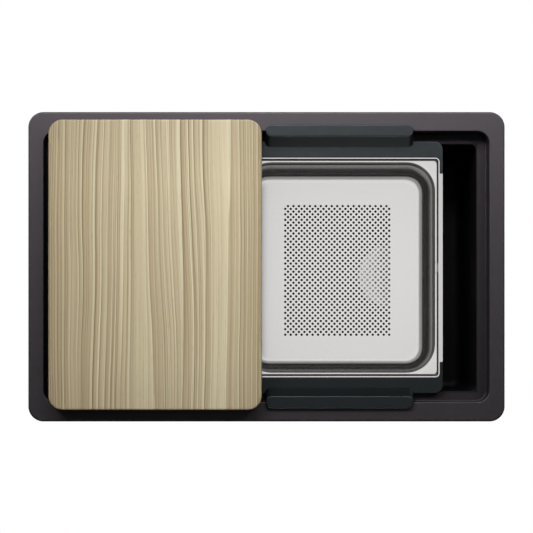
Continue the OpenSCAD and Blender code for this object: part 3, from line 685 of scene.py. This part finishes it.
def pan_shape():
    n = 16
    rings_ = [
        pr(-24, 21, PZ),
        *arc(pr(-24, 21, PZ), pr(-10.2, 33.5, PZ), pr(-7.8, 36, PZ + 10.0), 12),
        pr(-6.2, 38.6, -36), pr(-3.35, 42.8, -9.5),
        *arc(pr(-3.35, 42.8, -9.5), pr(-3.1, 43.2, -7.0), pr(-2.2, 44.2, -5.6), 2),
        *arc(pr(-2.2, 44.2, -5.6), pr(-1.1, 45.5, -4.2), pr(-0.9, 45.7, -2.4), 2),
        *arc(pr(-0.9, 45.7, -2.4), pr(-0.7, 46.0, 0), pr(1.6, 48.3, 0), 5),
    ]
    edge = (PAN_W - 0.5, PAN_D - 0.5, 5.5, P)
    rings_ += [(PAN_W - 1.2, PAN_D - 1.2, 4.8, P), edge, *arc(edge, (PAN_W, PAN_D, 6, P), (PAN_W, PAN_D, 6, P - 0.7), 4)]
    rings_ += [(PAN_W, PAN_D, 6, P - 6.1), *arc((PAN_W, PAN_D, 6, P - 6.1), (PAN_W, PAN_D, 6, P - 6.45), (PAN_W - 0.5, PAN_D - 0.5, 5.5, P - 6.45), 2),
               *arc((PAN_W - 0.5, PAN_D - 0.5, 5.5, P - 6.45), (PAN_W - 1, PAN_D - 1, 5, P - 6.45), (PAN_W - 1, PAN_D - 1, 5, P - 6.1), 2),
               (PAN_W - 1, PAN_D - 1, 5, P - 1.2), (PAN_W - 1.3, PAN_D - 1.3, 4.7, P - 1.0)]
    rings_ += [pr(1.6, 48.3, -1.0), *arc(pr(1.6, 48.3, -1.0), pr(0.25, 46.9, -1.0), pr(0.1, 46.8, -2.6), 3),
               *arc(pr(0.1, 46.8, -2.6), pr(-0.1, 46.5, -4.8), pr(-1.2, 45.2, -6.3), 2),
               *arc(pr(-1.2, 45.2, -6.3), pr(-2.2, 44.1, -7.6), pr(-2.35, 43.8, -9.7), 2),
               pr(-5.2, 39.6, -36), pr(-6.8, 37, PZ + 9.9), *arc(pr(-6.8, 37, PZ + 9.9), pr(-9.2, 34.5, PZ - 1.0), pr(-24, 21, PZ - 1), 12)]
    verts_, faces_ = loft(rings_, n, caps=False)
    m = 4 * (n + 1)
    first, last = list(range(m)), list(range((len(rings_) - 1) * m, len(rings_) * m))
    # the perforated floor: one flat sheet cut round every hole
    outer = [Vector(verts_[k][:2]) for k in first]
    seg = 16
    centres = [((j - 19) * HOLE_P, (23.5 - i) * HOLE_P) for i in range(48) for j in range(39) if (i + j) % 2 == 1]
    flat = list(outer)
    edges = [(k, (k + 1) % m) for k in range(m)]
    for cx, cy in centres:
        s0 = len(flat)
        for k in range(seg):
            a = 2 * math.pi * (k + 0.5) / seg
            flat.append(Vector((cx + HOLE_R * math.cos(a), cy + HOLE_R * math.sin(a))))
        edges += [(s0 + k, s0 + (k + 1) % seg) for k in range(seg)]
    # a few plain points keep the triangles round the holes short
    for cx in range(-132, 133, 12):
        for cy in range(-147, 148, 12):
            if abs(cx) > 92 or abs(cy) > 112:
                if abs(cx) < 129 and abs(cy) < 144:
                    flat.append(Vector((cx, cy)))
    got = geometry.delaunay_2d_cdt(flat, edges, [], 0, 1e-5, True)
    out_v, out_f, origin = got[0], got[2], got[3]
    cell = {}
    for cx, cy in centres:
        cell[(round(cx / HOLE_P), round(cy / HOLE_P * 2))] = (cx, cy)
    keep = []
    limit = (HOLE_R * 0.97) ** 2
    for tri in out_f:
        x = sum(out_v[i].x for i in tri) / len(tri)
        y = sum(out_v[i].y for i in tri) / len(tri)
        inside = False
        gx = round(x / HOLE_P)
        for ax in (gx - 1, gx, gx + 1):
            gy = round(y / HOLE_P * 2)
            for ay in (gy - 2, gy - 1, gy, gy + 1, gy + 2):
                c = cell.get((ax, ay))
                if c and (c[0] - x) ** 2 + (c[1] - y) ** 2 < limit and all((out_v[i].x - c[0]) ** 2 + (out_v[i].y - c[1]) ** 2 < (HOLE_R * 1.01) ** 2 for i in tri):
                    inside = True
        if not inside:
            keep.append(tri)
    # which loft vertex, if any, each flat vertex is
    upper, lower = {}, {}
    for i, v in enumerate(out_v):
        src = [o for o in origin[i] if o < m]
        if src:
            upper[i], lower[i] = first[src[0]], last[src[0]]
        else:
            upper[i] = len(verts_)
            verts_.append((v.x, v.y, P + PZ))
            lower[i] = len(verts_)
            verts_.append((v.x, v.y, P + PZ - 1))
    for tri in keep:
        faces_.append(tuple(upper[i] for i in tri))
        faces_.append(tuple(lower[i] for i in reversed(tri)))
    # walls of the holes
    where = {}
    for i, o in enumerate(origin):
        for k in o:
            where[k] = i
    for c in range(len(centres)):
        s0 = m + c * seg
        for k in range(seg):
            a, b = where[s0 + k], where[s0 + (k + 1) % seg]
            faces_.append((upper[a], lower[a], lower[b], upper[b]))
    return outward(mesh_object("perforated_pan", verts_, faces_))


pan = pan_shape()
# a short tongue between two slits in the middle of each end of the pan's rim
slits = [block(s * (PAN_W - 1.8) - 2.6, s * (PAN_W - 1.8) + 2.6, t * 8.4 - 0.55, t * 8.4 + 0.55, P - 3.0, P + 1.0) for s in (-1, 1) for t in (-1, 1)]
boolean(pan, slits, "DIFFERENCE")
shift_mesh(pan, FRAME_X)
piece(smooth(pan, 35.0), "pan", "pan_steel", pan_steel, "pan", "pan_floor")

# ---------------------------------------------------------------- waste body and overflow hose

OUTLET_R, HOSE_R, PORT_Z = 23.9, 13.0, U - 20.0


def wedge(x0, x1, half, z0, z1, z2, turned, cx, cy):
    """A triangular gusset: full height z0..z1 at x0, down to z2..z1 at x1, turned about (cx, cy)."""
    a = math.radians(turned)
    flat = [(x0, z0), (x1, z2), (x1, z1), (x0, z1)]
    v = []
    for side in (-half, half):
        for px, pz in flat:
            v.append((cx + px * math.cos(a) - side * math.sin(a), cy + px * math.sin(a) + side * math.cos(a), pz))
    f = [(0, 1, 2, 3), (7, 6, 5, 4)] + [(k, 4 + k, 4 + (k + 1) % 4, (k + 1) % 4) for k in range(4)]
    return outward(mesh_object("gusset", v, f))


def waste_shape():
    profile = [(43.5, U - 3), (57.2, U - 3), (57.8, U - 3.2), (58, U - 3.8), (58, U - 7.2), (57.8, U - 7.8), (57.2, U - 8),
               (49.6, U - 8), (48.5, U - 8.4), (48, U - 9.6), (48, U - 20), (48, U - 31), (48, U - 41.6), (47.6, U - 42.6), (46.6, U - 43),
               (OUTLET_R + 1.2, U - 43), (OUTLET_R + 0.2, U - 43.4), (OUTLET_R - 1.0, U - 44.6)]
    z = U - 46.4
    while z > U - 73.0:
        profile += [(OUTLET_R - 1.0, z + 0.45), (OUTLET_R - 0.15, z - 0.25), (OUTLET_R, z - 0.5), (OUTLET_R - 0.15, z - 0.75), (OUTLET_R - 1.0, z - 1.45)]
        z -= 2.309
    profile += [(OUTLET_R - 1.1, U - 74.3), (OUTLET_R - 1.7, U - 75), (OUTLET_R - 3.1, U - 75), (OUTLET_R - 3.4, U - 74.6),
                (OUTLET_R - 3.4, U - 40), (44.4, U - 40), (45, U - 39.4), (45, U - 8), (43.5, U - 8)]
    verts_, faces_ = lathe(profile, 96, DRAIN_X, 0.0)
    body = outward(mesh_object("waste_housing", verts_, faces_))
    gussets = [wedge(47.4, 56.6, 1.1, U - 31, U - 7.5, U - 9.5, a, DRAIN_X, 0.0) for a in (0, 40, 140, 180, 225, 270, 315)]
    boolean(body, gussets, "UNION")
    boolean(body, [cylinder(8, U - 43, U - 22, DRAIN_X, 0, 48)], "UNION")
    spokes = []
    for a in (90, 210, 330):
        t = math.radians(a)
        v = []
        for z_ in (U - 42.5, U - 31):
            for px, side in ((6, -2), (46, -2), (46, 2), (6, 2)):
                v.append((DRAIN_X + px * math.cos(t) - side * math.sin(t), px * math.sin(t) + side * math.cos(t), z_))
        f = [(0, 3, 2, 1), (4, 5, 6, 7), (0, 1, 5, 4), (1, 2, 6, 5), (2, 3, 7, 6), (3, 0, 4, 7)]
        spokes.append(outward(mesh_object("spoke", v, f)))
    boolean(body, spokes, "UNION")
    boolean(body, [lying_cylinder(HOSE_R + 1, 46.2, 54, DRAIN_X, PORT_Z), lying_cylinder(HOSE_R - 1.25, 46.2, 76, DRAIN_X, PORT_Z)], "UNION")
    boolean(body, [cylinder(5.5, U - 38.5, U - 18.5, DRAIN_X, 0, 40), lying_cylinder(HOSE_R - 3, 40, 80, DRAIN_X, PORT_Z)], "DIFFERENCE")
    return body


def hose_shape():
    top_z, y0, ny, bend = OVERFLOW_Z - 26.0, 58.8, BY + 9 + 14.0, 40.0
    straight1 = ny - bend - y0
    quarter = math.pi / 2 * bend
    straight2 = top_z - PORT_Z - bend
    total = straight1 + quarter + straight2

    def at(d):
        if d < straight1:
            return y0 + d, PORT_Z, 1.0, 0.0
        if d < straight1 + quarter:
            a = (d - straight1) / bend
            return ny - bend + bend * math.sin(a), PORT_Z + bend - bend * math.cos(a), math.cos(a), math.sin(a)
        return ny, PORT_Z + bend + (d - straight1 - quarter), 0.0, 1.0

    pitch, steps, n = 3.6, 6, 40
    path = [(0.0, 12.75), (0.25, 13.0)]
    cuff = 15.5
    count = int((total - 2 * cuff) / pitch)
    first = (total - count * pitch) / 2
    path.append((first - 0.01, 13.0))
    for i in range(count * steps + 1):
        c = 0.5 + 0.5 * math.cos(2 * math.pi * (i % steps) / steps)
        path.append((first + i * pitch / steps, 12.30 + 0.70 * c ** 0.6))
    path += [(first + count * pitch + 0.01, 13.0), (total - 0.25, 13.0), (total, 12.75)]
    inner = [(d, 12.05) for d, _ in reversed(path[::6])] + ([(0.0, 12.05)] if path[::6][0][0] > 0 else [])
    inner[0] = (total, 12.05)
    v, f = [], []
    for d, r in path + inner:
        cy, cz, ty, tz = at(min(max(d, 0.0), total))
        for k in range(n):
            a = 2 * math.pi * k / n
            v.append((DRAIN_X + r * math.cos(a), cy - tz * r * math.sin(a), cz + ty * r * math.sin(a)))
    m = len(path) + len(inner)
    for i in range(m):
        j = (i + 1) % m
        for k in range(n):
            k2 = (k + 1) % n
            f.append((i * n + k, i * n + k2, j * n + k2, j * n + k))
    return outward(mesh_object("ribbed_hose", v, f))


piece(smooth(waste_shape(), 35.0), "sink", "white_plastic", white_pp, "waste_body")
piece(smooth(hose_shape(), 50.0), "sink", "dark_plastic", dark_pp, "overflow_hose")

# ---------------------------------------------------------------- CAD nodes that keep their shape

keep = {
    "rim_seal": rubber, "clip_plugs": nylon, "clip_arms": sheet_steel, "clip_screws": sheet_steel,
    "waste_flange": polished, "waste_top_seal": rubber, "waste_under_seal": rubber,
    "waste_insert": brass, "waste_screw": sheet_steel, "overflow_cover": polished, "overflow_screw": sheet_steel,
    "overflow_seal": rubber, "overflow_elbow": dark_pp, "hose_clips": sheet_steel,
    "strainer_basket": polished, "strainer_seal": rubber, "strainer_stem": sheet_steel, "strainer_cap": polished,
    "rail_screws": sheet_steel,
}
for node, material in keep.items():
    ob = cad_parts[node]
    if not ob.material_slots:
        ob.data.materials.append(material)
    for s in ob.material_slots:
        s.material = material

# ---------------------------------------------------------------- floor, light and camera

floor_me = bpy.data.meshes.new("studio_floor")
floor_me.from_pydata([(-30, -30, -0.2785), (30, -30, -0.2785), (30, 30, -0.2785), (-30, 30, -0.2785)], [], [(0, 1, 2, 3)])
floor = bpy.data.objects.new("studio_floor", floor_me)
scene.collection.objects.link(floor)
fm = Nodes("studio_white")
fm.set(color=(0.0, 0.0, 0.0), rough=1.0, spec=0.0)
fm.bsdf.inputs["Emission Color"].default_value = (1, 1, 1, 1)
fm.bsdf.inputs["Emission Strength"].default_value = 1.0
# seen from underneath, the floor is clear
through = fm.add("ShaderNodeBsdfTransparent")
sides = fm.add("ShaderNodeMixShader")
fm.link(fm.add("ShaderNodeNewGeometry").outputs["Backfacing"], sides.inputs[0])
fm.link(fm.bsdf.outputs[0], sides.inputs[1])
fm.link(through.outputs[0], sides.inputs[2])
fm.link(sides.outputs[0], fm.out.inputs["Surface"])
floor_me.materials.append(fm.m)
floor.visible_shadow = False
floor.visible_diffuse = False
floor.visible_glossy = False

world = bpy.data.worlds.new("studio")
scene.world = world
world.use_nodes = True
wt = world.node_tree
bg = wt.nodes["Background"]
wc = wt.nodes.new("ShaderNodeTexCoord")
ws = wt.nodes.new("ShaderNodeSeparateXYZ")
wr = wt.nodes.new("ShaderNodeValToRGB")
wt.links.new(wc.outputs["Generated"], ws.inputs[0])
wt.links.new(ws.outputs["Z"], wr.inputs["Fac"])
wr.color_ramp.elements[0].position = 0.0
wr.color_ramp.elements[0].color = (0.30, 0.30, 0.30, 1)
wr.color_ramp.elements[1].position = 0.9
wr.color_ramp.elements[1].color = (0.42, 0.42, 0.42, 1)
wt.links.new(wr.outputs["Color"], bg.inputs["Color"])
bg.inputs["Strength"].default_value = 0.06
# plain white behind the object, wherever the camera stands
backdrop = wt.nodes.new("ShaderNodeBackground")
backdrop.inputs["Color"].default_value = (1, 1, 1, 1)
seen_by = wt.nodes.new("ShaderNodeLightPath")
choose = wt.nodes.new("ShaderNodeMixShader")
wt.links.new(seen_by.outputs["Is Camera Ray"], choose.inputs[0])
wt.links.new(bg.outputs[0], choose.inputs[1])
wt.links.new(backdrop.outputs[0], choose.inputs[2])
wt.links.new(choose.outputs[0], wt.nodes["World Output"].inputs["Surface"])


def area(name, place, aim, width, height, power):
    li = bpy.data.lights.new(name, "AREA")
    li.shape = "RECTANGLE"
    li.size, li.size_y = width, height
    li.energy = power
    ob = bpy.data.objects.new(name, li)
    scene.collection.objects.link(ob)
    ob.location = place
    ob.rotation_euler = (Vector(aim) - Vector(place)).to_track_quat("-Z", "Y").to_euler()
    return ob


area("softbox_top", (0.40, 0.30, 3.4), (0.40, 0.30, 0.0), 1.5, 1.35, 4.25)
area("under_fill", (0.5, 0.4, -1.7), (0.0, 0.0, -0.2), 2.0, 2.0, 70.0)
keys = [
    area("key_left", (-1.4, 1.45, 1.9), (0.0, 0.0, 0.0), 1.0, 1.0, 44.0),
    area("key_right", (1.5, 1.45, 1.9), (0.0, 0.0, 0.0), 1.0, 1.0, 36.0),
    area("strip_back", (0.0, 0.85, 1.15), (0.0, 0.2, 0.0), 0.8, 0.3, 10.5),
    area("fill_front", (0.0, -1.8, 0.7), (0.0, 0.0, 0.0), 2.4, 0.6, 2.5),
]
# a low strip behind, for the rim and the back rail only
rear = [area("strip_low", (0.0, 0.55, 0.35), (0.0, 0.25, 0.0), 1.0, 0.12, 2.6)]
# a broad, dim ceiling that only the steel mirrors
around = [area("ceiling", (0.0, 0.0, 3.7), (0.0, 0.001, 0.0), 6.0, 6.0, 36.0)]
for light in around:
    light.data.color = (1.0, 0.955, 0.92)
# a low strip in front that only the rails' grips catch
low = [area("strip_front", (0.05, -1.5, 0.14), (0.05, 0.2, 0.0), 1.6, 0.14, 13.0)]
# the key lights leave the steel to the overhead softbox and the surroundings
steel_names = {m.name for m in (sheet_steel, frame_steel_painted_shade, polished, pan_steel)}
steel_pieces = [ob for ob in scene.objects if ob.type == "MESH" and any(q.material and q.material.name in steel_names for q in ob.material_slots)]
links = (
    ("all_but_steel", keys, steel_pieces, "EXCLUDE"), ("rim_and_back_rail", rear, [bowl, back_rail], "INCLUDE"),
    ("only_steel", around, steel_pieces, "INCLUDE"), ("only_rails", low, [back_rail, front_rail], "INCLUDE"),
)
for name, lights, members, state in links:
    receivers = bpy.data.collections.new(name)
    for ob in members:
        receivers.objects.link(ob)
    for item in receivers.collection_objects:
        item.light_linking.link_state = state
    for light in lights:
        light.light_linking.receiver_collection = receivers

cam_data = bpy.data.cameras.new("camera")
cam_data.sensor_width = 36.0
cam_data.lens = 108.7
cam_data.shift_y = 0.2373
cam_data.clip_end = 50.0
cam = bpy.data.objects.new("camera", cam_data)
scene.collection.objects.link(cam)
cam.location = (0.0, -0.208, 2.658)
cam.rotation_euler = (0.0, 0.0, 0.0)
scene.camera = cam
scene.view_settings.view_transform = "Standard"
scene.view_settings.look = "None"
